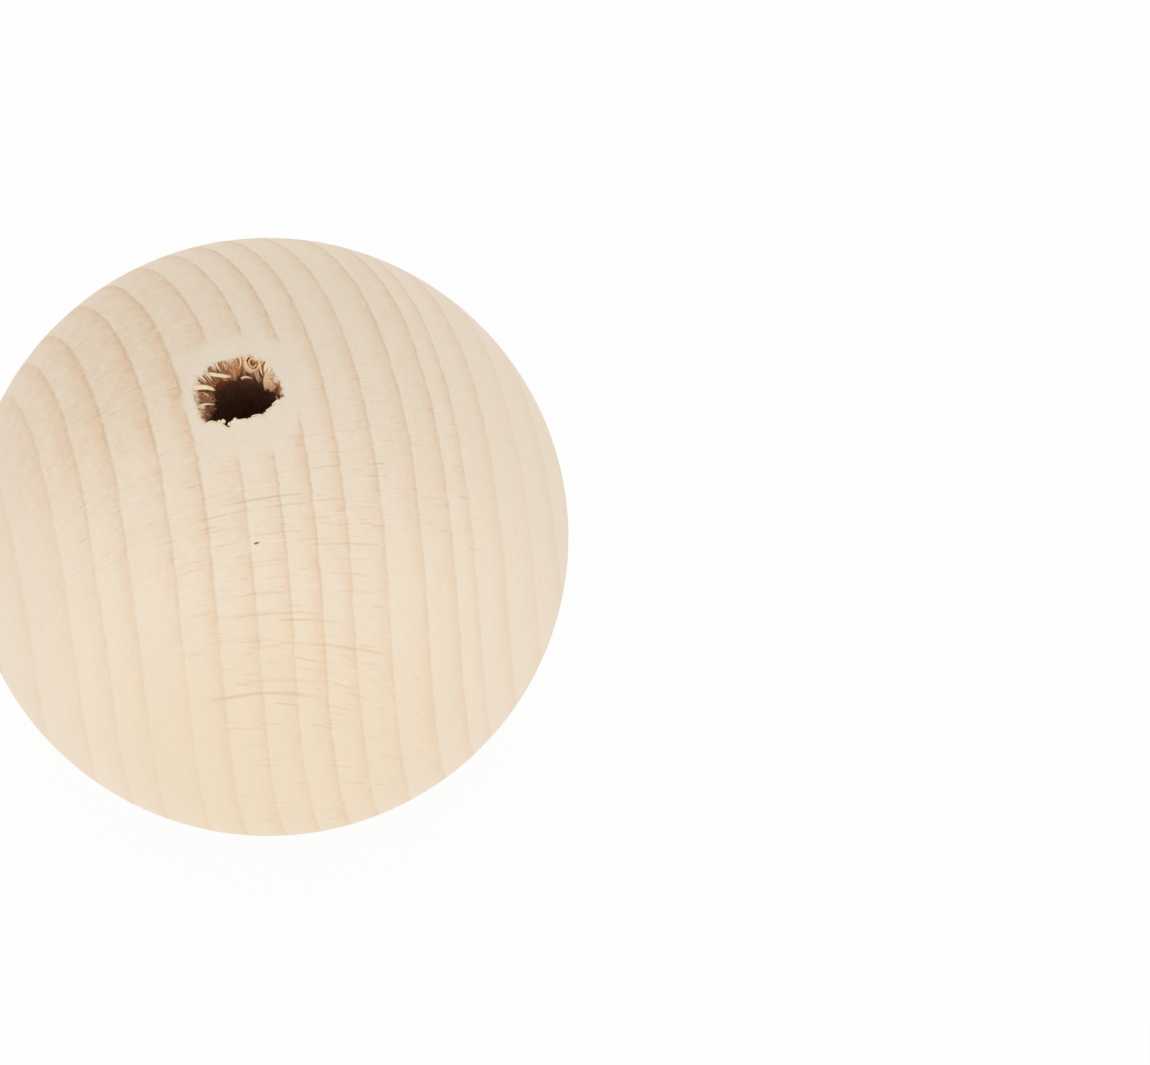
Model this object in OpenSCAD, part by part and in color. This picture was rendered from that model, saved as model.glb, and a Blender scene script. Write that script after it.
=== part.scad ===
// Turned wooden ball with one blind bore for a dowel, drilled into its end grain.
// Lengths are in millimetres. The origin is the centre of the ball, and +Z runs
// along the bore, out of its mouth.

/* [Ball] */
// Diameter of the turned ball
ball_d = 60; // [50:1:80]

/* [Dowel bore] */
// Diameter of the bore
bore_d = 8; // [5:0.5:12]
// Depth of the straight bore below the crown of the ball
bore_depth = 32; // [15:1:36]
// Included angle of the drill point at the bottom of the bore
point_angle = 118; // [90:1:150]

/* [Torn mouth] */
// Width of the crushed edge of the mouth, outward from the wall of the bore
crush_width = 0.25; // [0.1:0.05:0.4]
// Depth of the crushed edge, down the wall of the bore
crush_depth = 0.3; // [0.15:0.05:0.5]
// Number of tears round the mouth, where the drill broke out the end grain
tear_count = 30; // [12:1:40]
// Bite of the smallest tear, outward from the wall of the bore
tear_bite_min = 0.2; // [0.1:0.02:0.3]
// Bite of the largest tear, outward from the wall of the bore
tear_bite_max = 0.8; // [0.4:0.05:1]
// Run of a tear down the wall for each millimetre of its bite
tear_run = 3.5; // [2:0.25:5]
// Share of its part of the rim that a tear takes up
tear_fill = 0.94; // [0.6:0.02:0.98]
// How far the tip of a tear may stray to one side, as a share of its half-width
tear_skew = 0.7; // [0:0.1:0.9]
// Choice of one ragged pattern among many
tear_seed = 11; // [1:1:99]

/* [Hidden] */

ROUND = 128;
PALE_BEECH = [0.91, 0.83, 0.72];
// Cuts run this far past the surface that they open
OVERSHOOT = 1;
// Narrowest and widest part of the rim that one tear has, against the average
SLOT_RANGE = [0.5, 1.7];

ball_r = ball_d / 2;
bore_r = bore_d / 2;
bore_bottom_z = ball_r - bore_depth;
// Height at which the wall of the bore meets the surface of the ball
mouth_z = sqrt(pow(ball_r, 2) - pow(bore_r, 2));
point_height = bore_r / tan(point_angle / 2);

// The rim is shared out in slots of unequal width, one for each tear, so that
// neighbouring tears never meet and no crumb of wood is cut loose between them.
slot_parts = rands(SLOT_RANGE[0], SLOT_RANGE[1], tear_count, tear_seed);
bite_draws = rands(0, 1, tear_count, tear_seed + 1);
tip_draws = rands(-tear_skew, tear_skew, tear_count, tear_seed + 2);

// Sum of the first n values of a list
function sum_first(values, n) = n == 0 ? 0 : values[n - 1] + sum_first(values, n - 1);

rim_parts = sum_first(slot_parts, tear_count);

// Angle round the bore of the middle of slot i
function slot_angle(i) = 360 * (sum_first(slot_parts, i) + slot_parts[i] / 2) / rim_parts;

function half_width(i) = tear_fill * bore_r * PI * slot_parts[i] / rim_parts;

// Most tears are small and a few are large, so the draw is squared.
function bite(i) = tear_bite_min + (tear_bite_max - tear_bite_min) * pow(bite_draws[i], 2);

// Half-section of all that the drill removed: the cone under its point, the
// straight wall, and the crushed edge that flares out at the mouth
module drilled_bore() {
    rotate_extrude($fn = ROUND)
        polygon([
            [0, bore_bottom_z - point_height],
            [bore_r, bore_bottom_z],
            [bore_r, mouth_z - crush_depth],
            [bore_r + crush_width, mouth_z],
            [bore_r + crush_width, ball_r + OVERSHOOT],
            [0, ball_r + OVERSHOOT]
        ]);
}

// One tear: a four-cornered groove that starts at a point on the wall of the bore
// and leans outward as it rises, so it is widest where it breaks the surface.
module tear(bite, half_width, tip_shift) {
    run = tear_run * bite;
    translate([bore_r, 0, mouth_z - run])
        rotate([0, atan2(bite, run), 0])
            linear_extrude(height = run + OVERSHOOT)
                polygon([
                    [0, tip_shift],
                    [-bite, half_width],
                    [-2 * bite, 0],
                    [-bite, -half_width]
                ]);
}

// Ring of tears round the mouth, no two alike
module torn_mouth() {
    for (i = [0 : tear_count - 1])
        rotate([0, 0, slot_angle(i)])
            tear(bite(i), half_width(i), tip_draws[i] * half_width(i));
}

module wooden_ball() {
    color(PALE_BEECH)
        difference() {
            sphere(r = ball_r, $fn = ROUND);
            drilled_bore();
            torn_mouth();
        }
}

wooden_ball();
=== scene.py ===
"""Turned beech ball with one torn dowel bore, its stage and its camera."""

import math
import random

import bmesh
import bpy
from mathutils import Euler, Matrix, Vector, noise


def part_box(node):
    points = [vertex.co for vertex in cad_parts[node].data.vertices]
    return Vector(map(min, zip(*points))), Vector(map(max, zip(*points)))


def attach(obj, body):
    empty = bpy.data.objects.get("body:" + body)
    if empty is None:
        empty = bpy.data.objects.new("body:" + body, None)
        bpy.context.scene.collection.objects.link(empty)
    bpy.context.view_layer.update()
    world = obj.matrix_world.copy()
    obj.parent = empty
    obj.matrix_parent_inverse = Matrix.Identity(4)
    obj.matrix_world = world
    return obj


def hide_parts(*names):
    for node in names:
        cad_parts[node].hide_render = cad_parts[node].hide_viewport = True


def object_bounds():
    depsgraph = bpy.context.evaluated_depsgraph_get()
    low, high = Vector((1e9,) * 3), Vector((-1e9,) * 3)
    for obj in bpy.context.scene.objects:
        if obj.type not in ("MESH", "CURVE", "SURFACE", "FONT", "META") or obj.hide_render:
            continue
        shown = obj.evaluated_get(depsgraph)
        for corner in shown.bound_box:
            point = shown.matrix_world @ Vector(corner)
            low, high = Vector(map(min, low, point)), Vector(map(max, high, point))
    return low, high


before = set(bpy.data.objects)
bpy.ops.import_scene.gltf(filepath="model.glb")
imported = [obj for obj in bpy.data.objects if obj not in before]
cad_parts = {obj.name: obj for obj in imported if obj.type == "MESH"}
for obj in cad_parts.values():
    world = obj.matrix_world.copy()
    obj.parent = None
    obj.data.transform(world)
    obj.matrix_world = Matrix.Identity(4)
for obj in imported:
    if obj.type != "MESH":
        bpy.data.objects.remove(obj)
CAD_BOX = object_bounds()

bl_info = {
    "name": "Turned Beech Ball",
    "version": (1, 0, 0),
    "blender": (4, 5, 0),
    "location": "3D View > Sidebar > Beech Ball",
    "description": "Makes a turned beech ball with a torn dowel bore, and its stage",
    "category": "Object",
}

MM = 0.001
PER_METRE = 1.0 / MM
BALL_RADIUS = -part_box("wooden_ball")[0].z
BORE_RADIUS = 4.0 * MM
BORE_DEPTH = 32.0 * MM
DRILL_POINT = math.radians(118.0)

# The smooth collar round the mouth, how far down the torn wood goes, and how far down its
# ledge is, in mm.
COLLAR_MM = 7.0
TORN_DEPTH_MM = 7.4
LEDGE_DEPTH_MM = 1.7

# Bundles of torn fibres to each mm, across and upright.
WIDE_BUNDLES = (2.6, 0.55)
NARROW_BUNDLES = (6.5, 1.1)

# The view: the picture's size and the middle of the ball in it, in pixels, then how far the
# camera is from the ball's middle, how high it stands over it, and how far it is rolled.
PICTURE_WIDTH, PICTURE_HEIGHT = 1150, 1065
BALL_ACROSS, BALL_DOWN = 270.7, 536.9
VIEW_DISTANCE = 323.3 * MM
VIEW_HEIGHT = math.radians(62.66)
VIEW_ROLL = math.radians(-13.11)
SENSOR_MM, LENS_MM = 36.0, 100.0

# The stem that the ball was cut from, in the ball's own frame: along the fibres, round the
# stem, and outward from its heart, which lies HEART_MM from the middle of the ball.
ALONG = Vector((0.07, 0.25, 0.97)).normalized()
NEARLY_OUTWARD = Vector((0.99, 0.1, -0.1))
ROUND = ALONG.cross(NEARLY_OUTWARD).normalized()
OUTWARD = ROUND.cross(ALONG)
HEART_MM = 90.0
BLOCK_MM = 30.0

# Year rings from the heart outward: width in mm, and how dark the ring's edge is. The first
# one starts at FIRST_RING_MM, counted outward from the middle of the ball.
FIRST_RING_MM = -38.4
DARKEST_RING = 1.2
YEAR_RINGS = (
    (3.2, 0.5), (3.2, 0.6), (3.2, 0.6), (3.2, 0.6), (4.0, 0.6), (3.1, 0.7), (3.2, 0.9),
    (4.2, 0.7), (3.6, 1.0), (3.8, 0.8), (3.4, 0.8), (3.1, 1.1), (3.0, 1.0), (3.4, 0.8),
    (3.7, 0.9), (3.1, 1.0), (2.0, 0.8), (3.0, 0.8), (3.0, 0.4), (2.9, 0.5), (3.2, 0.6),
    (3.2, 0.6), (3.2, 0.6),
)

# How dark the wood is from the start of one year ring, at 0, to its end, at 1.
RING_SHADE = (
    (0.0, 0.9), (0.025, 0.6), (0.055, 0.12), (0.1, 0.0), (0.4, 0.08), (0.55, 0.2), (0.67, 0.38),
    (0.78, 0.62), (0.88, 0.86), (0.95, 1.0), (1.0, 1.0),
)

# False rings inside the true ones: place across the ball, half-width in mm, darkness.
FALSE_RINGS = (
    (-24.0, 1.4, 0.5), (-22.7, 0.5, 0.8), (-19.4, 0.5, 0.9), (-14.1, 0.9, 0.4), (14.3, 0.8, 0.5),
)

# Scattered rays by kind, in mm: gap between their sheets, thickness, length across, height
# along the fibres, then the draw under which a ray is left out.
FINE_RAYS = (0.37, 0.09, 1.7, 0.7, 0.3)
MIDDLING_RAYS = (0.83, 0.11, 3.8, 1.2, 0.3)
LONG_RAYS = (2.3, 0.12, 8.0, 1.8, 0.4)
LOW_RAYS = (0.7, 0.17, 2.8, 6.0, 0.35)

# The clearest rays: place round the stem, start and end across the ball, place along the
# fibres, all in mm, then strength, and how tan the ray is.
CLEAR_RAYS = (
    (-17.3, -6.2, 2.3, 24.5, 1.0, 0.1), (-18.0, -1.9, 1.8, 24.0, 0.9, 0.3),
    (-18.0, -8.7, -3.2, 23.5, 0.9, 0.2), (-17.9, 2.7, 5.1, 23.5, 0.7, 0.1),
    (-19.1, -8.5, -4.1, 23.0, 0.5, 0.0), (-19.1, 1.2, 4.3, 23.0, 0.6, 0.1),
    (-19.9, -4.0, 1.5, 22.5, 0.7, 0.3), (-20.9, 1.1, 8.5, 20.5, 0.8, 0.6),
    (-20.9, -10.8, -8.3, 20.5, 0.6, 0.0), (-22.0, -4.6, -0.7, 20.5, 0.5, 0.0),
    (-22.7, 3.1, 6.8, 19.0, 0.7, 0.2), (-22.8, -2.5, -0.3, 19.5, 0.5, 0.1),
    (-23.7, -5.6, -0.5, 18.5, 0.8, 0.5), (-23.7, 3.6, 7.6, 17.0, 0.5, 0.2),
    (-24.9, -6.8, 1.8, 17.0, 1.0, 0.5), (-25.3, -1.4, 4.0, 16.0, 0.8, 0.1),
    (-26.5, 0.1, 8.5, 13.0, 0.9, 0.8), (-26.4, -10.3, -8.9, 13.5, 0.6, 1.0),
    (-26.6, -4.8, -1.8, 14.5, 0.5, 0.6), (-27.6, 0.1, 2.0, 11.5, 0.5, 0.2),
    (-28.1, -6.5, 2.1, 10.5, 0.6, 0.6), (-28.6, -9.6, 1.8, 9.5, 1.0, 1.0),
)

# Where the ring beside the mouth is browned, and a dark speck on the front, in mm.
BROWNED_RING = Vector((-6.3, -0.8, 29.2))
SPECK = Vector((-1.4, -14.0, 26.5))

# Edge of the torn mouth as seen from above: degrees round the bore, radius in mm.
TORN_EDGE = (
    (-180, 3.95), (-169, 4.05), (-158, 4.12), (-146, 4.15), (-143, 3.65), (-136, 3.5), (-128, 3.4),
    (-120, 3.5), (-112, 3.6), (-110, 2.9), (-106, 2.7), (-98, 2.85), (-88, 2.9), (-75, 3.05),
    (-62, 3.1), (-56, 3.35), (-46, 3.42), (-36, 3.55), (-26, 3.8), (-20, 4.25), (-10, 4.15),
    (5, 3.9), (20, 3.85), (36, 4.0), (63, 3.95), (80, 3.7), (95, 3.75), (106, 3.85), (120, 3.78),
    (132, 3.85), (142, 4.1), (155, 4.12), (166, 3.95), (180, 3.95),
)

# Torn wood left inside the mouth, at the depth of the ledge: as above.
TORN_LEDGE = (
    (-180, 2.45), (-170, 2.85), (-160, 3.35), (-150, 3.9), (-136, 3.55), (-116, 3.7), (-104, 3.0),
    (-75, 3.3), (-36, 3.7), (-14, 3.95), (8, 3.6), (25, 3.2), (42, 3.2), (55, 2.95), (75, 2.75),
    (92, 2.75), (104, 3.1), (118, 3.45), (134, 3.3), (144, 2.8), (152, 2.3), (166, 2.2), (180, 2.45),
)


# The largest radius that either outline may have, in mm.
WIDEST_MM = 5.0


def paint(red, green, blue):
    """A colour written as it shows on a screen, as the renderer wants it."""
    def linear(level):
        share = level / 255.0
        return share / 12.92 if share <= 0.04045 else ((share + 0.055) / 1.055) ** 2.4
    return (linear(red), linear(green), linear(blue), 1.0)


# ---------------------------------------------------------------- nodes as sums

def sum_rule(operation, swapped=False):
    """Makes the method behind one sign, such as + or *."""
    def apply(self, other):
        return self.bench.math(operation, *((other, self) if swapped else (self, other)))
    return apply


class Value:
    """A socket that plain sums can be written with. Each sum adds a Math node."""

    __add__, __radd__ = sum_rule("ADD"), sum_rule("ADD", swapped=True)
    __sub__, __rsub__ = sum_rule("SUBTRACT"), sum_rule("SUBTRACT", swapped=True)
    __mul__, __rmul__ = sum_rule("MULTIPLY"), sum_rule("MULTIPLY", swapped=True)
    __truediv__, __rtruediv__ = sum_rule("DIVIDE"), sum_rule("DIVIDE", swapped=True)
    __pow__ = sum_rule("POWER")

    def __init__(self, bench, socket):
        self.bench = bench
        self.socket = socket

    def __abs__(self):
        return self.bench.math("ABSOLUTE", self)

    def out(self, name):
        return Value(self.bench, pick_socket(self.socket.node.outputs, name))


def pick_socket(sockets, key):
    live = [s for s in sockets if s.enabled]
    if isinstance(key, int):
        return live[key]
    return next(s for s in live if s.name == key)


class Bench:
    """Adds nodes to one tree, for a finish or for a shape."""

    def __init__(self, tree):
        self.tree = tree

    def node(self, kind, settings=None, inputs=None, output=0):
        """Adds one node: its settings first, then the values or links of its sockets."""
        made = self.tree.nodes.new(kind)
        for name, setting in (settings or {}).items():
            if name == "stops":
                set_stops(made.color_ramp, setting)
            elif name == "points":
                set_points(made.mapping, setting)
            else:
                setattr(made, name, setting)
        for key, value in (inputs or {}).items():
            socket = pick_socket(made.inputs, key)
            if isinstance(value, Value):
                self.tree.links.new(value.socket, socket)
            else:
                socket.default_value = value
        if not made.outputs:
            return made
        return Value(self, pick_socket(made.outputs, output))

    def geometry(self, kind, **inputs):
        """Adds a node that works on shapes. A space in a socket's name is written as _."""
        return self.node("GeometryNode" + kind, None,
                         {name.replace("_", " "): value for name, value in inputs.items()})

    def math(self, operation, *values):
        return self.node("ShaderNodeMath", {"operation": operation}, dict(enumerate(values)))

    def least(self, a, b):
        return self.math("MINIMUM", a, b)

    def most(self, a, b):
        return self.math("MAXIMUM", a, b)

    def share(self, value):
        """The value, kept between 0 and 1."""
        return self.node("ShaderNodeClamp", None, {"Value": value})

    def ease(self, value, start, end):
        """0 before start, 1 after end, and smooth between them."""
        return self.node("ShaderNodeMapRange", {"interpolation_type": "SMOOTHSTEP"},
                         {"Value": value, "From Min": start, "From Max": end})

    def curve(self, value, points):
        return self.node("ShaderNodeFloatCurve", {"points": points}, {"Value": value})

    def join(self, x, y, z):
        return self.node("ShaderNodeCombineXYZ", None, {0: x, 1: y, 2: z})

    def dot(self, vector, direction):
        return self.node("ShaderNodeVectorMath", {"operation": "DOT_PRODUCT"},
                         {0: vector, 1: tuple(direction)}, "Value")

    def distance(self, vector, place):
        return self.node("ShaderNodeVectorMath", {"operation": "DISTANCE"},
                         {0: vector, 1: tuple(place)}, "Value")

    def noise(self, vector, scale=1.0, detail=2.0, roughness=0.5):
        """Noise from about -1 to 1 around 0."""
        fac = self.node("ShaderNodeTexNoise", None,
                        {"Vector": vector, "Scale": scale, "Detail": detail, "Roughness": roughness})
        return (fac - 0.5) * 2.0

    def scaled(self, vector, factor):
        """A place or a colour, times a factor."""
        return self.node("ShaderNodeVectorMath", {"operation": "SCALE"},
                         {0: vector, "Scale": factor})

    def blend(self, share, a, b):
        """Colour a where share is 0, colour b where it is 1."""
        return self.node("ShaderNodeMix", {"data_type": "RGBA"}, {"Factor": share, "A": a, "B": b})


def set_stops(ramp, stops):
    while len(ramp.elements) > 1:
        ramp.elements.remove(ramp.elements[-1])
    ramp.elements[0].position, ramp.elements[0].color = stops[0]
    for position, colour in stops[1:]:
        ramp.elements.new(position).color = colour


def set_points(mapping, points):
    curve = mapping.curves[0]
    while len(curve.points) > 2:
        curve.points.remove(curve.points[1])
    curve.points[0].location = points[0]
    curve.points[1].location = points[-1]
    for point in points[1:-1]:
        curve.points.new(*point)
    for point in curve.points:
        point.handle_type = "VECTOR"
    mapping.update()


# ---------------------------------------------------------------- finishes

def new_finish(name):
    finish = bpy.data.materials.new(name)
    finish.use_nodes = True
    finish.node_tree.nodes.clear()
    return finish, Bench(finish.node_tree)


def finish_surface(b, colour, roughness, relief, strength, rise):
    """Bare wood with a fine relief: how strongly it shows, and its full height in metres."""
    bump = b.node("ShaderNodeBump", None,
                  {"Strength": strength, "Distance": rise, "Height": relief})
    surface = b.node("ShaderNodeBsdfPrincipled", None, {
        "Base Color": colour, "Roughness": roughness, "Normal": bump,
        "IOR": 1.45, "Specular IOR Level": 0.35})
    b.node("ShaderNodeOutputMaterial", None, {"Surface": surface})


def ring_steps():
    """Ring edges as curve points: distance from the ball's middle against rings passed."""
    total = sum(width for width, _ in YEAR_RINGS)
    points, reached = [(0.0, 0.0)], 0.0
    for count, (width, _) in enumerate(YEAR_RINGS, 1):
        reached += width
        points.append((reached / total, count / len(YEAR_RINGS)))
    return total, points


def false_ring_points(total):
    """False rings as curve points: 0 between them, a peak at each."""
    points = [(0.0, 0.0)]
    for place, half_width, dark in FALSE_RINGS:
        for offset, level in ((-half_width, 0.0), (0.0, dark), (half_width * 0.6, 0.0)):
            points.append(((place + offset - FIRST_RING_MM) / total, level))
    return points + [(1.0, 0.0)]


def ray_sheets(b, depth, sheet, along, gap, thick, length, height, rarest):
    """Scattered rays: one thin sheet in each gap, broken up. Returns strength and draw."""
    layer = b.math("FLOOR", sheet / gap)
    across = b.join(depth / length + layer * 17.3, along / height + layer * 5.7, 0.0)
    cell = b.node("ShaderNodeTexVoronoi", {"voronoi_dimensions": "2D"},
                  {"Vector": across, "Scale": 1.0}, "Distance")
    draw = b.node("ShaderNodeSeparateColor", None, {0: cell.out("Color")})
    off = abs(sheet / gap - layer - draw * 0.6 - 0.2) * gap
    ends = b.ease(cell, 0.55, 0.25)
    return b.ease(off, thick * 0.8, thick * 0.25) * ends * b.ease(draw.out("Green"), rarest, 1.0), draw


def clear_rays(b, depth, sheet, along):
    """The few rays that stand out. Returns their strength, and how tan they are."""
    strength, tan = None, None
    for place, start, end, at, dark, tanned in CLEAR_RAYS:
        middle, half = (start + end) / 2, (end - start) / 2
        ends = b.ease(abs(depth - middle), half + 0.5, half * 0.5)
        ray = b.ease(abs(sheet - place), 0.1, 0.02) * ends * b.ease(abs(along - at), 3.0, 2.0)
        strength = ray * dark if strength is None else strength + ray * dark
        tan = ray * tanned if tan is None else tan + ray * tanned
    return strength, b.share(tan)


def year_rings(b, place):
    """Returns the place within a year ring, from 0 to 1, how dark it is, and false rings."""
    total, steps = ring_steps()
    count = len(YEAR_RINGS)
    across = (place - FIRST_RING_MM) / total
    phase = b.curve(across, steps) * float(count)
    whole = b.math("FLOOR", phase)
    shades = [((i + 0.5) / count, min(1.0, dark / DARKEST_RING))
              for i, (_, dark) in enumerate(YEAR_RINGS)]
    darkness = b.curve((whole + 0.5) / count, shades) * DARKEST_RING
    return phase - whole, darkness, b.curve(across, false_ring_points(total))


def ball_place(b):
    """A place in the ball in mm, its three parts, and how deep it is under the surface."""
    mm = b.scaled(b.node("ShaderNodeTexCoord", None, None, "Object"), PER_METRE)
    x = b.node("ShaderNodeSeparateXYZ", None, {0: mm})
    y, z = x.out("Y"), x.out("Z")
    return mm, x, y, z, BALL_RADIUS * PER_METRE - (x * x + y * y + z * z) ** 0.5


def bore_wood(b, look, sizes, mm, x, y, z, under):
    """Down the bore: crushed pale fibres, torn tan wood, then darker wood, which is painted shade down
    the bore.

    Returns its colour, where it shows, where its pale lip shows, and its relief.
    """
    wide = bundles(b, x, y, z, *WIDE_BUNDLES)
    narrow = bundles(b, x, y, z, *NARROW_BUNDLES)
    streak = b.noise(b.join(x * 9.0, y * 9.0, z * 1.1), 1.0, 3.0, 0.6)
    chips = b.noise(mm, 1.4, 3.0, 0.6)
    angle = b.math("ARCTAN2", y, x)
    to_edge = (x * x + y * y) ** 0.5 - torn_radius(b, angle, sizes.tear_size)
    # Painted shade on the left wall of the mouth: a pale band at the torn edge, then dark wood below it.
    left_wall_shade = b.ease(x, -1.0, -3.0) * b.ease(y, 2.1, 1.3)
    rightward = b.ease(x, 0.0, 1.0) * b.ease(x, 3.2, 2.4) * b.ease(y, 1.4, 2.2)
    band = b.ease(chips * 0.25 - to_edge, 0.3, 0.62) * 4.0 + b.most(under - 1.2, 0.0) * 2.0
    # The colour darkens with depth down the bore: painted shade, which darkens faster on the right wall.
    sunk = (under * (1.0 - left_wall_shade) + left_wall_shade * band + rightward * (under + 0.3)
            + (wide - 0.5) * (1.0 - left_wall_shade * 0.4) + chips * 0.5)
    colour = b.node("ShaderNodeValToRGB", {"stops": (
        (0.0, look.crushed_wood), (0.07, look.torn_wood), (0.3, look.torn_wood),
        (0.5, look.torn_wood_deep), (0.75, look.shaded_bore_wood), (1.0, look.bore_dark))},
        {0: sunk / 6.5})
    # Painted light: the far wall is made paler from 1.8 to 6.5 mm down, where light reaches into the
    # bore.
    lit_far_wall = b.ease(y, 1.0, 3.0) * b.ease(under, 1.8, 2.6) * b.ease(under, 6.5, 3.5)
    tone = (0.88 + narrow * 0.24 + streak * 0.12) * (1.0 + lit_far_wall * (chips * 1.2 + 0.8))
    inside = b.most(b.ease(under, 0.08, 0.2), b.ease(to_edge, 0.0, -0.2) * b.ease(z, 27.0, 28.0))
    lip = (b.ease(to_edge + chips * 0.12, 0.3, 0.08) * b.ease(z, 28.0, 29.0)
           * (b.ease(y, -0.5, -1.8) * 0.7 + 0.15))
    return b.scaled(colour, tone), inside, lip, streak * 5.0 + narrow * 3.0


def beech_finish(look, sizes):
    """Bare turned beech: year rings, rays and fibres of one solid block, and the bore."""
    finish, b = new_finish("turned_beech")
    mm, x, y, z, under = ball_place(b)
    along = b.dot(mm, ALONG)
    outward = b.dot(mm, OUTWARD) + HEART_MM
    round_ = b.dot(mm, ROUND)
    depth = (outward * outward + round_ * round_) ** 0.5 - HEART_MM
    turn = b.math("ARCTAN2", round_, outward) * HEART_MM

    def stem_noise(across, about, lengthwise, detail=2.0, roughness=0.5):
        """Noise with its own fineness across the rings, round the stem and along it."""
        return b.noise(b.join(depth * across, turn * about, along * lengthwise), 1.0, detail,
                       roughness)

    # The stem leans, bows and rounds off a little along the block.
    l, t, d = along / BLOCK_MM, turn / BLOCK_MM, depth / BLOCK_MM
    bow = l * 0.3 + t * 0.35 + t * t * 0.6 + d * (l + t * 0.5 + t * t * 2.7 - t * d * 1.5)
    wander = stem_noise(1 / 9.0, 1 / 9.0, 1 / 14.0) * 0.2
    wobble = stem_noise(1 / 1.8, 1 / 2.5, 1 / 2.2)
    sheet = turn - d * (d * 4.0 - l * 0.7 - t * 1.2 + 0.9) + wobble * 0.08

    # Rays run outward from the heart: thin upright sheets, fine, middling and long.
    fine_ray, fine_draw = ray_sheets(b, depth, sheet, along, *FINE_RAYS)
    mid_ray, mid_draw = ray_sheets(b, depth, sheet, along, *MIDDLING_RAYS)
    long_ray, _ = ray_sheets(b, depth, sheet, along, *LONG_RAYS)
    low_sheet = along + depth * (depth * 0.038 + 0.38)
    low_ray, _ = ray_sheets(b, depth, low_sheet, turn, *LOW_RAYS)
    clear_ray, tan_ray = clear_rays(b, depth, sheet, along)

    # Ring edges step a little from ray to ray.
    jag = stem_noise(0.6, 1.7, 0.9, 3.0, 0.7) * 0.16
    ring, darkness, false_ring = year_rings(
        b, depth + bow + wander + jag + (mid_draw - 0.5) * 0.08)

    # The parts of the ball that look unlike the rest.
    top = b.ease(along, 12.0, 26.0)
    patchy = top * b.ease(depth, 4.0, -12.0) * b.ease(turn, -14.0, -3.0)
    end_grain = b.share(along / BLOCK_MM)
    low_left = b.ease(turn, -22.0, -29.0) * b.ease(depth, -4.0, -14.0)
    low_front = b.ease(turn, -19.0, -26.0)
    low_place = b.ease(turn, -25.0, -28.0) * b.ease(depth, -11.0, -4.0) * b.ease(depth, 11.0, 6.0)

    blotch = stem_noise(1.2, 0.9, 0.3, 4.0, 0.62)
    breaks = stem_noise(0.5, 0.9, 0.5, 3.0, 0.6)
    line = (b.ease(b.least(ring, 1.0 - ring) * 3.2, 0.25, 0.03)
            * b.ease(breaks + top * 0.15, -0.45, 0.4))
    late = b.curve(ring, RING_SHADE)
    late = (late + false_ring * 0.45 * (1.0 - late)) * (blotch * 0.9 + 0.95)
    strength = (darkness * (end_grain * 0.25 + 0.7) * (1.0 - low_left * 0.4)
                + b.ease(b.distance(mm, BROWNED_RING), 4.5, 1.0) * 0.45)

    # Rays show best on the front, and fade to its sides and low down.
    on_side = 1.0 - b.share(abs(depth) / 29.0) ** 2.0
    on_front = b.ease(turn, -3.0, -15.0) * 0.72 + 0.28
    past_front = b.ease(abs(depth), 7.0, 14.0) * b.ease(turn, -15.0, -22.0)
    in_middle = b.ease(abs(depth + 2.0), 9.0, 5.0) * 0.35 - b.ease(depth, 4.0, 8.0) * 0.15
    ray_shows = b.most(patchy * 0.8, on_side * on_front * b.ease(turn, -28.8, -26.8)
                       * (1.0 - past_front))
    ray_shows = ray_shows * (1.0 + b.ease(turn, -16.0, -12.0) * in_middle)

    # Round the mouth the wood is rubbed smooth and pale, with few rings or rays.
    off_axis = (x * x + y * y) ** 0.5
    collar = off_axis + b.noise(mm, 0.5, 2.0) * 0.9 + b.ease(x, -3.0, -5.5) * 1.5
    rubbed = b.ease(collar, COLLAR_MM + 0.4, COLLAR_MM - 1.4) * b.ease(z, 20.0, 25.0)
    shows = 1.0 - rubbed * 0.85
    plain = shows * 0.95

    fibres = stem_noise(2.4, 2.4, 0.8, 3.0, 0.6)
    fine = stem_noise(6.0, 6.0, 3.0, 2.0, 0.6)
    cloud = b.noise(mm, 0.11, 2.0)
    blush = stem_noise(0.9, 0.6, 0.35, 4.0, 0.7)
    dash = b.noise(b.join(depth * 1.3, sheet * 5.0, along * 2.0), 1.0, 2.0, 0.6)
    strokes = b.noise(b.join(depth * 0.8, sheet * 0.9, along * 0.5 + 7.0), 1.0, 2.0, 0.6)

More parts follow.
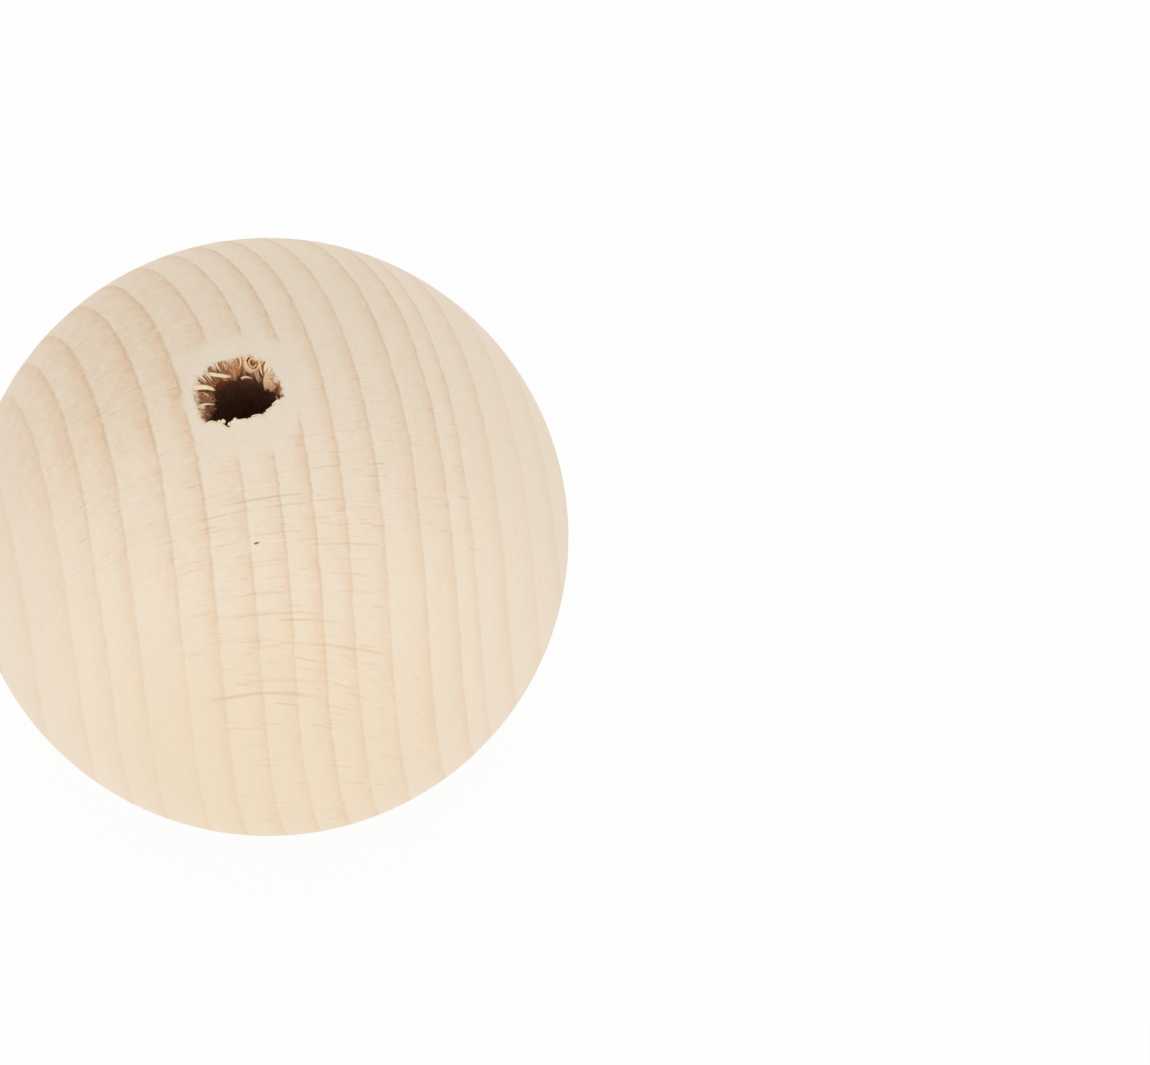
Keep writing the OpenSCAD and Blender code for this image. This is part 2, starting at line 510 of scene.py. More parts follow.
    # Early and late wood first, then the rays, then what lies over both.
    late_colour = b.blend(b.ease(blush, -0.35, 0.35), look.late_wood, look.late_wood_pink)
    early = b.blend(b.ease(turn, -22.5, -30.0), look.early_wood, look.early_wood_warm)
    late_share = late * strength * plain * (patchy * 0.13 + 0.44)
    blush_share = blush * (top * 0.08 + patchy * 0.26 + 0.1)
    wood = b.blend(b.share(late_share + blush_share + top * 0.04 + patchy * 0.14 + 0.03),
                   early, late_colour)
    short = b.blend(b.ease(turn, -17.0, -27.0), look.short_ray, look.low_ray)
    for ray, draw, pale_from, pale_by, in_late, in_early in (
            (fine_ray, fine_draw, 0.62, 0.68, 0.12, 0.2),
            (mid_ray, mid_draw, 0.7, 0.75, 0.15, 0.3)):
        glint = b.ease(draw.out("Blue"), pale_from, pale_by)
        wood = b.blend(b.share(ray * plain * ray_shows * (late * in_late + in_early)), wood,
                       b.blend(glint, short, look.pale_ray))
    wood = b.blend(b.share(long_ray * plain * ray_shows * 0.3), wood, short)
    wood = b.blend(b.share(clear_ray * plain * 0.3), wood, b.blend(tan_ray, short, look.tan_ray))
    wood = b.blend(low_ray * low_place * 0.42, wood, short)
    wood = b.blend(rubbed * 0.8, wood, look.rubbed_wood)
    speck_x, speck_y, speck_z = x - SPECK.x, y - SPECK.y, z - SPECK.z
    off_speck = (speck_x * speck_x * 0.2 + speck_y * speck_y + speck_z * speck_z) ** 0.5
    wood = b.blend(b.ease(off_speck + fine * 0.06, 0.14, 0.07) * 0.85, wood, look.speck)
    fleck = b.ease(dash, 0.12, 0.42) * b.ease(strokes, -0.05, 0.3) * shows
    fleck = fleck * (top * 0.4 + patchy * 0.6)
    wood = b.blend(fleck * (late * 0.25 + 0.12), wood, short)
    edge_line = line * strength * plain * (1.0 - rubbed)
    edge_share = edge_line * (top * 0.1 + low_front * 0.035 + 0.015)
    wood = b.blend(b.share(edge_share), wood, look.ring_edge)

    # Fibres and clouds make the wood a little lighter or darker.
    left_dashes = b.ease(turn, -12.0, -18.0) * b.ease(depth, -2.0, -9.0)
    grain = (fibres * (patchy * 0.02 + 0.018) + fine * 0.036
             + dash * (blotch * 0.5 + 0.5) * (top * 0.06 + left_dashes * 0.03 + 0.02))
    # Darker towards the end grain at the top of the ball: partly the end grain's own tone, partly
    # painted shade on the top.
    tone = (1.0 - edge_line * (top * 0.035 + low_front * 0.03 + 0.022)
            + grain * (b.ease(along, 6.0, 25.0) * 0.7 + 0.8) + cloud * 0.012
            - end_grain ** 4.0 * 0.06 - b.ease(turn, -18.0, -29.0) * 0.011)
    bore, inside, lip, bore_relief = bore_wood(b, look, sizes, mm, x, y, z, under)
    wood = b.blend(lip, b.scaled(wood, tone), look.crushed_wood)

    relief = fibres * 0.25 + fine * 0.2 - (mid_ray + clear_ray) * ray_shows * 0.4 - line * 0.2
    relief = relief * (1.0 - inside) + bore_relief * inside
    finish_surface(b, b.blend(inside, wood, bore), 0.62 + fine * 0.03 + late * 0.03 + inside * 0.2,
                   relief, 0.35, 0.03 * MM)
    return finish


def fibre_finish(name, tip, root, deep):
    """Torn fibres: painted paler where they stand in the light, and darker down the bore as painted
    shade.
    """
    if name in bpy.data.materials:
        return bpy.data.materials[name]
    finish, b = new_finish(name)
    mm, _, _, _, under = ball_place(b)
    mottle = b.noise(mm, 2.2, 2.0)
    strand = b.noise(mm, 8.0, 2.0)
    # Painted light and shade: pale near the surface, darker with depth down the bore.
    colour = b.node("ShaderNodeValToRGB", {"stops": (
        (0.0, tip), (0.2, tip), (0.5, root), (1.0, deep))}, {0: (under + mottle * 0.5) / 4.5})
    colour = b.scaled(colour, 1.0 + strand * 0.08 + mottle * 0.05)
    finish_surface(b, colour, 0.6 + strand * 0.05, strand, 0.3, 0.02 * MM)
    return finish


def pale_fibre(look):
    return fibre_finish("pale_fibre", look.fibre_tip, look.fibre_root, look.shaded_bore_wood)


def warm_fibre(look):
    return fibre_finish("warm_fibre", look.warm_tip, look.tan_tip, look.shaded_bore_wood)


def tan_fibre(look):
    return fibre_finish("tan_fibre", look.tan_tip, look.tan_root, look.shaded_bore_wood)


# ---------------------------------------------------------------- shapes by rule

def shape_tree(name, inputs):
    """A Geometry Nodes tree with named inputs. Returns the tree, its bench and its inputs."""
    tree = bpy.data.node_groups.new(name, "GeometryNodeTree")
    tree.interface.new_socket(name="Geometry", in_out="OUTPUT", socket_type="NodeSocketGeometry")
    for label, kind, _ in inputs:
        tree.interface.new_socket(name=label, in_out="INPUT", socket_type="NodeSocket" + kind)
    bench = Bench(tree)
    first = bench.node("NodeGroupInput")
    return tree, bench, {label: first.out(label) for label, _, _ in inputs}


def make_by_rule(name, tree, inputs):
    """Runs a shape tree and returns its result as an object with a plain mesh."""
    piece = bpy.data.objects.new(name, bpy.data.meshes.new(name))
    bpy.context.scene.collection.objects.link(piece)
    modifier = piece.modifiers.new("Shape", "NODES")
    modifier.node_group = tree
    sockets = {s.name: s.identifier for s in tree.interface.items_tree if s.in_out == "INPUT"}
    for label, _, value in inputs:
        modifier[sockets[label]] = value
    depsgraph = bpy.context.evaluated_depsgraph_get()
    mesh = bpy.data.meshes.new_from_object(piece.evaluated_get(depsgraph))
    mesh.name = name
    piece.modifiers.clear()
    piece.data = mesh
    finish = next(m for m in mesh.materials if m)
    mesh.materials.clear()
    mesh.materials.append(finish)
    return piece


def close_tree(b, mesh, finish):
    """Ends a shape tree with one smooth, plain mesh in its finish."""
    mesh = b.geometry("SetShadeSmooth", Geometry=mesh)
    mesh = b.geometry("RealizeInstances", Geometry=mesh)
    mesh = b.geometry("SetMaterial", Geometry=mesh, Material=finish)
    b.node("NodeGroupOutput", None, {"Geometry": mesh})


def by_angle(b, angle, places):
    """A radius in mm looked up by the angle round the bore, in radians."""
    turned = (angle / math.tau) + 0.5
    points = [((deg + 180.0) / 360.0, radius / WIDEST_MM) for deg, radius in places]
    return b.curve(turned, points) * WIDEST_MM


def bundles(b, x, y, z, across, upright):
    """Bundles of fibres standing side by side. Returns each one's three random draws."""
    place = b.join(x * across, y * across, z * upright)
    cell = b.node("ShaderNodeTexVoronoi", None, {"Vector": place, "Scale": 1.0}, "Color")
    return b.node("ShaderNodeSeparateXYZ", None, {0: cell})


def torn_radius(b, angle, tear):
    """Radius of the torn mouth in mm at an angle round the bore, in radians."""
    cos, sin = b.math("COSINE", angle), b.math("SINE", angle)
    block = bundles(b, cos * 4.0, sin * 4.0, 0.0, 3.1, 1.0)
    ragged = b.noise(b.join(cos * 4.0, sin * 4.0, 1.0), 5.0, 3.0, 0.65)
    clean = b.ease(sin, -0.2, -0.5)
    return (by_angle(b, angle, TORN_EDGE)
            + ((block - 0.5) * 0.34 + ragged * 0.07) * (1.0 - clean * 0.55) * tear)


def turned_ball_tree(inputs):
    """Half-section of the ball and its bore, turned round +Z, with a torn mouth."""
    tree, b, given = shape_tree("turned_ball", inputs)
    # Rows of faces on each stretch, from the bottom of the ball to the point of the bore.
    back, collar, mouth, wall, point = 54, 20, 58, 8, 6
    rows = back + collar + mouth + wall + point
    grid = b.geometry("MeshGrid", Size_X=1.0, Size_Y=1.0, Vertices_X=given["Segments"] + 1,
                      Vertices_Y=rows + 1)
    place = b.node("ShaderNodeSeparateXYZ", None, {0: b.node("GeometryNodeInputPosition")})
    angle = place * math.tau
    cos, sin = b.math("COSINE", angle), b.math("SINE", angle)
    row = (place.out("Y") + 0.5) * float(rows)
    on_back = b.share(row / back)
    on_collar = b.share((row - back) / collar)
    on_mouth = b.share((row - (back + collar)) / mouth)
    on_wall = b.share((row - (back + collar + mouth)) / wall)
    on_point = b.share((row - (back + collar + mouth + wall)) / point)

    ball = given["Ball Radius"] * PER_METRE
    bore = given["Bore Radius"] * PER_METRE
    tear = given["Tear Size"]
    collar_angle = b.math("ARCSINE", COLLAR_MM / ball)
    rim_angle = b.math("ARCSINE", bore / ball)
    polar = math.pi - on_back * (math.pi - collar_angle) - on_collar * (collar_angle - rim_angle)
    edge = torn_radius(b, angle, tear)
    on_ball = ball * b.math("SINE", polar) + on_collar * on_collar * (edge - bore)
    rim = b.math("SQRT", ball * ball - on_ball * on_ball)
    # On the back the height is a cosine, since the root would fold the lower half up.
    upper = b.math("GREATER_THAN", on_back, 0.999)
    height = rim * upper + ball * b.math("COSINE", polar) * (1.0 - upper)

    # The torn wood leans in under the edge, then goes back out to the drilled wall.
    sunk = on_mouth ** 1.7 * TORN_DEPTH_MM
    ledge = by_angle(b, angle, TORN_LEDGE)
    lean = b.share(sunk / LEDGE_DEPTH_MM) * tear
    opened = b.ease(sunk, 1.9, 4.2)
    radius = on_ball + (ledge - edge) * lean
    radius = radius + (bore - radius) * opened
    wall_length = b.math("SQRT", ball * ball - bore * bore) - (ball - given["Bore Depth"] * PER_METRE)
    height = height - sunk - on_wall * (wall_length - TORN_DEPTH_MM)
    cone = bore / b.math("TANGENT", given["Drill Point"] / 2.0)
    height = height - on_point * cone
    radius = radius * (1.0 - on_point)

    # Torn wood stands in bundles along the fibres, which fade out down the wall.
    torn = b.ease(sunk, 0.02, 0.4) * b.ease(sunk, 6.0, 2.5) * tear
    wide = bundles(b, radius * cos, radius * sin, height, *WIDE_BUNDLES)
    narrow = bundles(b, radius * cos, radius * sin, height, *NARROW_BUNDLES)
    streak = b.noise(b.join(cos * 14.0, sin * 14.0, height * 0.6 + given["Seed"]), 1.0, 3.0, 0.6)
    radius = radius + ((wide - 0.5) * 0.5 + (narrow - 0.5) * 0.2 + streak * 0.08) * torn
    drilled = b.ease(sunk, 3.0, 7.0) * (1.0 - on_point)
    radius = radius + streak * drilled * 0.05
    steep = b.share((edge - ledge) / 1.6) * b.ease(sunk, 3.0, 1.6)
    height = height + ((wide.out("Y") - 0.5) * 0.5 + (narrow.out("Y") - 0.5) * 0.25) * torn * steep
    chipped = b.ease(wide.out("Z"), 0.5, 0.8) * b.ease(on_collar, 0.9, 1.0) * b.ease(sin, -0.4, 0.0)
    height = height - chipped * b.ease(sunk, 0.5, 0.0) * 0.22 * tear

    shape = b.join(radius * cos * MM, radius * sin * MM, height * MM)
    ball_mesh = b.geometry("SetPosition", Geometry=grid, Position=shape)
    ball_mesh = b.geometry("MergeByDistance", Geometry=ball_mesh, Distance=1e-6)
    close_tree(b, ball_mesh, given["Finish"])
    return tree


def fibre_tree(name, inputs):
    """Torn fibres rooted in the wall round the mouth, each tapered and a little bent."""
    tree, b, given = shape_tree(name, inputs)
    spots = b.geometry("Points", Count=given["Count"])
    stem = b.geometry("CurvePrimitiveLine", Start=(0, 0, 0), End=(0, 0, 1))
    stem = b.geometry("ResampleCurve", Curve=stem, Count=8)
    stems = b.geometry("InstanceOnPoints", Points=spots, Instance=stem)
    stems = b.geometry("RealizeInstances", Geometry=stems)
    which = b.node("GeometryNodeCurveOfPoint", None, None, "Curve Index")
    step = b.node("GeometryNodeSplineParameter", None, None, "Factor")

    draws = iter(range(100))

    def draw(low, high):
        return b.node("FunctionNodeRandomValue", None, {
            "Min": low, "Max": high, "ID": which, "Seed": given["Seed"] * 20 + next(draws)})

    angle = draw(given["Start"], given["End"])
    root_depth = draw(0.0, 1.0) ** 1.6 * given["Root Depth"] * PER_METRE
    length = draw(given["Shortest"], given["Longest"]) * PER_METRE
    sideways = draw(-1.0, 1.0) * given["Sideways"]
    drop = draw(0.3, 1.0) * given["Drop"]
    lift = draw(-0.3, 1.0) * given["Lift"]
    thick = draw(0.45, 1.0) * given["Thickness"] / 2.0 * PER_METRE
    edge = torn_radius(b, angle, given["Tear Size"])
    ledge = by_angle(b, angle, TORN_LEDGE)
    ball = given["Ball Radius"] * PER_METRE
    root = edge + (ledge - edge) * b.share(root_depth / LEDGE_DEPTH_MM) + given["Sunk"] * PER_METRE
    rim = b.math("SQRT", ball * ball - root * root) - 0.06
    curl = b.noise(b.join(step * 1.3, b.math("MULTIPLY", which, 3.7), given["Seed"]), 1.0, 1.0)
    radius = root - length * given["Inward"] * step * (1.0 + curl * 0.25)
    height = rim - root_depth + length * (lift * step - drop * step * step)
    around = length * (sideways * step + curl * 0.35 * step)
    ceiling = b.math("SQRT", ball * ball - radius * radius) + 0.12
    height = b.least(height, ceiling)
    turned = angle + around / b.most(radius, 1.0)
    line = b.join(radius * b.math("COSINE", turned) * MM, radius * b.math("SINE", turned) * MM,
                  height * MM)
    stems = b.geometry("SetPosition", Geometry=stems, Position=line)
    stems = b.geometry("SetCurveTilt", Curve=stems, Tilt=draw(0.0, math.pi))
    taper = thick * (1.0 - step * step * 0.9) * MM
    outline = b.geometry("CurvePrimitiveCircle", Resolution=6, Radius=1.0)
    outline = b.geometry("Transform", Geometry=outline, Scale=(1.0, 0.45, 1.0))
    strands = b.geometry("CurveToMesh", Curve=stems, Profile_Curve=outline, Scale=taper,
                         Fill_Caps=True)
    close_tree(b, strands, given["Finish"])
    return tree


# ---------------------------------------------------------------- shapes from listed points

# The way that splinters and shavings turn their flat side: up and to the front.
FACING = Vector((-0.1, -0.45, 0.9)).normalized()


def bent_point(points, share):
    """A point on the smooth path through three points, from root to tip."""
    root, middle, tip = (Vector(p) for p in points)
    pull = middle * 2.0 - (root + tip) * 0.5
    return root * (1 - share) ** 2 + pull * 2 * share * (1 - share) + tip * share * share


def along_list(values, share):
    """A value at a share of the way along an evenly spaced list."""
    place = share * (len(values) - 1)
    low = min(int(place), len(values) - 2)
    return values[low] + (values[low + 1] - values[low]) * (place - low)


def ribbon(bm, path, widths, thicknesses, facing, sides, jitter, rng):
    """A closed, fluted strip along a path. Its flat side looks towards facing."""
    rings = []
    flutes = [1.0 + rng.uniform(-jitter, jitter) for _ in range(sides)]
    for i, centre in enumerate(path):
        ahead = (path[min(i + 1, len(path) - 1)] - path[max(i - 1, 0)]).normalized()
        across = ahead.cross(facing).normalized()
        flat = across.cross(ahead).normalized()
        share = i / (len(path) - 1)
        width, thick = along_list(widths, share) / 2, along_list(thicknesses, share) / 2
        ring = []
        for k in range(sides):
            angle = math.tau * k / sides
            ridge = flutes[k] * (1.0 + rng.uniform(-jitter, jitter) * 0.3)
            offset = across * math.cos(angle) * width + flat * math.sin(angle) * thick
            ring.append(bm.verts.new((centre + offset * ridge) * MM))
        rings.append(ring)
    for low, high in zip(rings, rings[1:]):
        for k in range(sides):
            n = (k + 1) % sides
            bm.faces.new((low[k], low[n], high[n], high[k]))
    bm.faces.new(rings[0][::-1])
    bm.faces.new(rings[-1])


def splinter(bm, points, root_width, tip_width, thick, strands, rng):
    """A fluted splinter, with loose strands along it, each torn off at its own length."""
    run = (Vector(points[2]) - Vector(points[0])).normalized()
    across = run.cross(FACING).normalized()
    raised = across.cross(run)

    def spread(share):
        return root_width + (tip_width - root_width) * share

    def strip(reach, side, width, depth, rise, sides, flute):
        steps, path = 12, []
        wave = rng.uniform(0, math.tau)
        for i in range(steps + 1):
            share = i / steps * reach
            swing = math.sin(wave + 3.5 * share) * 0.06 * (1.0 - width)
            path.append(bent_point(points, share) + across * (side + swing) * spread(share)
                        + raised * rise)
        widths = [spread(k / 4 * reach) * width * blunt
                  for k, blunt in enumerate((1.0, 1.0, 1.0, 0.9, 0.45))]
        ribbon(bm, path, widths, (depth, depth * 0.9, depth * 0.7, depth * 0.35), FACING,
               sides, flute, rng)

    strip(0.94, 0.0, 0.94, thick, 0.0, 14, 0.14)
    for _ in range(strands):
        side = rng.uniform(-0.42, 0.42)
        reach = 1.06 - rng.uniform(0.0, 0.8) * abs(side)
        strip(reach, side, rng.uniform(0.16, 0.34), thick * 0.6, thick * rng.uniform(0.15, 0.4), 6, 0.1)


def crumb(bm, centre, size, rng):
    """A small crushed lump of wood."""
    shift = Vector((rng.uniform(0, 50), rng.uniform(0, 50), rng.uniform(0, 50)))
    made = bmesh.ops.create_icosphere(bm, subdivisions=3, radius=1.0)
    turn = Matrix.Rotation(rng.uniform(0, math.tau), 3, "Z")
    for vert in made["verts"]:
        swell = 1.0 + noise.noise(vert.co * 1.3 + shift) * 0.5 + noise.noise(vert.co * 3.5 + shift) * 0.3
        spot = turn @ (vert.co * swell)
        vert.co = (Vector(centre) + Vector(a * b / 2 for a, b in zip(spot, size))) * MM


def finished_piece(name, bm, finish):
    bmesh.ops.recalc_face_normals(bm, faces=bm.faces)
    mesh = bpy.data.meshes.new(name)
    bm.to_mesh(mesh)
    bm.free()
    for face in mesh.polygons:
        face.use_smooth = True
    mesh.materials.append(finish)
    piece = bpy.data.objects.new(name, mesh)
    bpy.context.scene.collection.objects.link(piece)
    return piece


# Splinters and strands left standing in the mouth, in mm: three points from root to tip,
# width at the root and at the tip, thickness, and how many strands make each one up.
PALE_SPLINTERS = (
    (((-2.6, 3.05, 29.35), (-1.15, 2.56, 29.15), (-0.15, 2.38, 28.75)), 0.44, 0.28, 0.2, 5),
    (((-4.2, 1.68, 29.4), (-2.8, 1.43, 29.6), (-1.95, 1.02, 29.3)), 0.55, 0.3, 0.28, 5),
    (((-1.3, 3.85, 29.6), (-1.16, 3.25, 29.4), (-0.93, 2.97, 28.9)), 0.22, 0.1, 0.12, 1),
    (((-3.65, 2.65, 29.6), (-3.3, 2.15, 29.58), (-3.05, 1.8, 29.4)), 0.2, 0.1, 0.08, 1),
    (((-3.3, 2.75, 29.6), (-2.9, 2.25, 29.55), (-2.5, 1.85, 29.1)), 0.1, 0.04, 0.07, 0),
    (((-3.1, 2.8, 29.6), (-2.72, 2.35, 29.55), (-2.5, 2.0, 29.25)), 0.24, 0.1, 0.08, 1),
    (((-2.7, 2.95, 29.6), (-2.42, 2.5, 29.5), (-2.1, 2.0, 28.95)), 0.1, 0.04, 0.07, 0),
    (((-2.45, 3.05, 29.6), (-2.2, 2.55, 29.5), (-1.95, 2.15, 29.1)), 0.26, 0.1, 0.1, 1),
    (((3.6, -1.75, 29.7), (3.46, -1.42, 29.72), (3.38, -1.1, 29.6)), 0.07, 0.03, 0.05, 0),
)
WARM_SPLINTERS = (
    (((-3.95, -0.25, 29.2), (-3.0, -0.04, 29.02), (-2.1, -0.23, 28.75)), 0.34, 0.06, 0.14, 0),
    (((-3.85, -0.35, 29.25), (-3.5, -0.35, 29.15), (-3.1, -0.3, 28.9)), 0.6, 0.25, 0.2, 1),
    (((1.0, 3.75, 29.6), (0.95, 3.14, 29.4), (0.61, 2.94, 28.9)), 0.22, 0.1, 0.1, 1),
    (((2.7, 2.95, 29.5), (2.62, 2.1, 29.4), (2.72, 1.55, 28.9)), 0.26, 0.12, 0.1, 1),
    (((3.3, 2.9, 29.6), (2.9, 2.55, 29.75), (2.62, 2.25, 29.45)), 0.14, 0.07, 0.07, 0),
    (((3.65, 2.7, 29.5), (3.2, 2.15, 29.65), (2.88, 1.7, 29.2)), 0.5, 0.3, 0.12, 3),
    (((3.8, 2.1, 29.5), (3.4, 1.75, 29.6), (3.1, 1.45, 29.2)), 0.46, 0.24, 0.12, 2),
    (((0.68, 2.3, 28.15), (1.2, 2.2, 28.42), (1.74, 1.92, 28.15)), 0.3, 0.16, 0.08, 1),
)
TAN_SPLINTERS = (
    (((3.85, 1.75, 29.25), (3.2, 1.02, 29.05), (2.9, 0.38, 28.2)), 1.2, 1.1, 0.16, 6),
    (((4.0, 0.8, 29.2), (3.68, 0.5, 29.05), (3.42, 0.15, 28.5)), 0.44, 0.24, 0.12, 2),
    (((2.5, 2.9, 29.2), (2.3, 2.1, 28.7), (2.45, 1.55, 28.1)), 0.34, 0.16, 0.12, 2),
    (((2.1, 3.0, 29.0), (2.1, 2.1, 28.5), (2.25, 1.5, 27.9)), 0.3, 0.14, 0.1, 1),
    (((-3.95, 0.95, 29.1), (-2.95, 0.95, 28.8), (-2.5, 0.6, 28.15)), 0.75, 0.5, 0.2, 2),
)

# Thin shavings pressed flat on the near edge: as above.
SHAVINGS = (
    (((-1.15, -2.9, 29.83), (-0.15, -3.0, 29.86), (0.85, -3.1, 29.83)), 0.16, 0.08, 0.07, 0),
    (((1.0, -2.97, 29.83), (1.6, -3.12, 29.85), (2.25, -3.17, 29.76)), 0.12, 0.06, 0.07, 0),
    (((0.8, -2.85, 29.84), (1.25, -2.78, 29.86), (1.9, -2.84, 29.78)), 0.14, 0.08, 0.1, 1),
    (((2.2, -2.65, 29.75), (2.57, -2.38, 29.8), (2.95, -2.17, 29.74)), 0.12, 0.06, 0.09, 0),
    (((2.9, -2.05, 29.74), (3.3, -1.82, 29.76), (3.75, -1.7, 29.68)), 0.14, 0.08, 0.1, 1),
)

# Crushed lumps on the near edge, in mm: place and size.
LUMPS = (
    ((-1.85, -2.62, 29.76), (0.44, 0.4, 0.34)), ((-0.72, -2.74, 29.8), (0.36, 0.3, 0.3)),
    ((-1.34, -3.04, 29.74), (0.34, 0.34, 0.25)), ((-1.05, -2.93, 29.77), (0.3, 0.3, 0.25)),
    ((-2.2, -2.52, 29.72), (0.34, 0.3, 0.25)),
)


# ---------------------------------------------------------------- settings

def length_setting(name, description, default, least):
    return bpy.props.FloatProperty(
        name=name, description=description, default=default, min=least, unit="LENGTH",
        subtype="DISTANCE", precision=5)


def colour_setting(name, description, red, green, blue):
    return bpy.props.FloatVectorProperty(
        name=name, description=description, default=paint(red, green, blue), size=4,
        subtype="COLOR")


class BallSizes(bpy.types.PropertyGroup):
    """Sizes of the turned ball and its bore."""
    ball_radius: length_setting(
        "Ball radius", "Radius of the turned ball", BALL_RADIUS, 0.01)
    bore_radius: length_setting(
        "Bore radius", "Radius of the dowel bore below its mouth", BORE_RADIUS, 0.001)
    bore_depth: length_setting(
        "Bore depth", "Depth of the straight bore below the crown of the ball", BORE_DEPTH, 0.001)
    drill_point: bpy.props.FloatProperty(
        name="Drill point", description="Included angle at the bottom of the bore",
        default=DRILL_POINT, min=1.0, max=3.1, unit="ROTATION", subtype="ANGLE")
    tear_size: bpy.props.FloatProperty(
        name="Tear size", description="How ragged the mouth is, as a share of the usual",
        default=1.0, min=0.0, max=2.0, subtype="FACTOR")
    segments: bpy.props.IntProperty(
        name="Segments", description="Faces round the ball", default=640, min=64, max=700)
    seed: bpy.props.IntProperty(
        name="Seed", description="Choice of one ragged mouth among many", default=7, min=0)


class BeechLook(bpy.types.PropertyGroup):
    """Colours of the bare beech."""
    early_wood: colour_setting("Early wood", "Pale wood at the start of a year ring", 242, 227, 206)
    early_wood_warm: colour_setting(
        "Warm early wood", "Pale wood on the side that faces the stem's outside", 239, 222, 196)
    late_wood: colour_setting("Late wood", "Tan wood at the end of a year ring", 230, 194, 150)
    late_wood_pink: colour_setting("Pink late wood", "Late wood where it is pinker", 231, 191, 155)
    short_ray: colour_setting("Short ray", "Short fine rays", 190, 154, 116)
    low_ray: colour_setting(
        "Low ray", "Fine rays low on the front, which are more orange", 224, 178, 126)
    tan_ray: colour_setting("Tan ray", "The few broad tan rays", 214, 156, 102)
    pale_ray: colour_setting("Pale ray", "Fine rays that catch the light", 253, 243, 227)
    rubbed_wood: colour_setting("Rubbed wood", "Smooth pale wood round the mouth", 239, 225, 204)
    ring_edge: colour_setting("Ring edge", "Thin dark line at the edge of each year ring", 160, 122, 84)
    speck: colour_setting("Speck", "Dark speck on the front", 104, 84, 64)
    crushed_wood: colour_setting(
        "Crushed wood", "Crushed pale wood on the edge of the mouth", 231, 209, 178)
    torn_wood: colour_setting("Torn wood", "Torn wood just inside the mouth", 221, 163, 115)
    # The next three colours make the bore darker with depth: painted shade.
    torn_wood_deep: colour_setting("Deeper torn wood", "Torn wood further down the bore", 188, 132, 90)
    shaded_bore_wood: colour_setting("Browned wood", "Wood browned by the drill", 158, 112, 82)
    bore_dark: colour_setting("Bore dark", "Wall of the bore well below its mouth", 158, 120, 94)
    # The fibre colours run from painted light at the surface to painted shade down the bore.
    fibre_tip: colour_setting("Fibre tip", "Torn fibres that stand in the light", 244, 227, 197)
    fibre_root: colour_setting("Fibre root", "Torn fibres down the bore", 218, 176, 134)
    warm_tip: colour_setting(
        "Warm fibre tip", "Warmer torn fibres that stand in the light", 248, 219, 182)
    tan_tip: colour_setting("Tan fibre tip", "Tan torn fibres that stand in the light", 236, 194, 150)
    tan_root: colour_setting("Tan fibre root", "Tan torn fibres down the bore", 220, 172, 128)


class StageSettings(bpy.types.PropertyGroup):
    """Floor and lamps."""
    floor_radius: bpy.props.FloatProperty(
        name="Floor radius", description="Radius of the pale floor",
        default=4.0, min=0.5, unit="LENGTH", subtype="DISTANCE")
    sky_level: bpy.props.FloatProperty(
        name="Sky level", description="Even light from all round", default=0.83, min=0.0)
    front_lamp: bpy.props.FloatProperty(
        name="Front lamp", description="Power of the soft lamp low in front",
        default=1.65, min=0.0, unit="POWER")
    top_lamp: bpy.props.FloatProperty(
        name="Top lamp", description="Power of the soft lamp above",
        default=0.9, min=0.0, unit="POWER")


# ---------------------------------------------------------------- operators

def rule_inputs(sizes, shared, finish, **own):
    """Inputs of a shape tree: some of the sizes, its own values, and its finish."""
    kinds = {int: "Int", float: "Float"}
    values = {name: getattr(sizes, name) for name in shared} | own
    return tuple((name.replace("_", " ").title(), kinds[type(value)], value)
                 for name, value in values.items()) + (("Finish", "Material", finish),)


class BEECHBALL_OT_turned_ball(bpy.types.Operator):
    """Turns the ball, drills its bore and tears the mouth"""
    bl_idname = "beechball.turned_ball"
    bl_label = "Turned ball"

    def execute(self, context):
        sizes, look = context.scene.beech_ball_sizes, context.scene.beech_ball_look
        finish = beech_finish(look, sizes)
        inputs = rule_inputs(sizes, ("ball_radius", "bore_radius", "bore_depth", "drill_point",
                                     "tear_size", "seed", "segments"), finish)
        ball = make_by_rule("turned_ball", turned_ball_tree(inputs), inputs)
        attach(ball, "root")
        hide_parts("wooden_ball")
        return {"FINISHED"}


class BEECHBALL_OT_mouth_fibres(bpy.types.Operator):
    """Sets the torn fibres round the mouth of the bore"""
    bl_idname = "beechball.mouth_fibres"
    bl_label = "Mouth fibres"

    def execute(self, context):
        sizes, look = context.scene.beech_ball_sizes, context.scene.beech_ball_look
        finishes = {"wall_fibres": tan_fibre(look)}
        groups = {
            "rim_hairs": dict(
                count=28, root_depth=0.5 * MM, shortest=0.3 * MM, longest=0.8 * MM,
                thickness=0.1 * MM, inward=0.7, drop=0.8, lift=0.1, sideways=0.5,
                sunk=0.16 * MM, seed=5, start=math.radians(12), end=math.radians(135)),
            "wall_fibres": dict(
                count=70, root_depth=1.7 * MM, shortest=0.4 * MM, longest=1.1 * MM,
                thickness=0.14 * MM, inward=0.3, drop=1.0, lift=0.0, sideways=0.4,
                sunk=0.12 * MM, seed=9, start=math.radians(-10), end=math.radians(205)),
            "near_fringe": dict(
                count=40, root_depth=0.15 * MM, shortest=0.1 * MM, longest=0.28 * MM,
                thickness=0.2 * MM, inward=0.8, drop=0.4, lift=0.0, sideways=1.2,
                sunk=0.14 * MM, seed=3, start=math.radians(-150), end=math.radians(-15)),
        }
        for name, own in groups.items():
            inputs = rule_inputs(sizes, ("ball_radius", "tear_size"),
                                 finishes.get(name) or pale_fibre(look), **own)
            fibres = make_by_rule(name, fibre_tree(name, inputs), inputs)
            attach(fibres, "root")
        return {"FINISHED"}


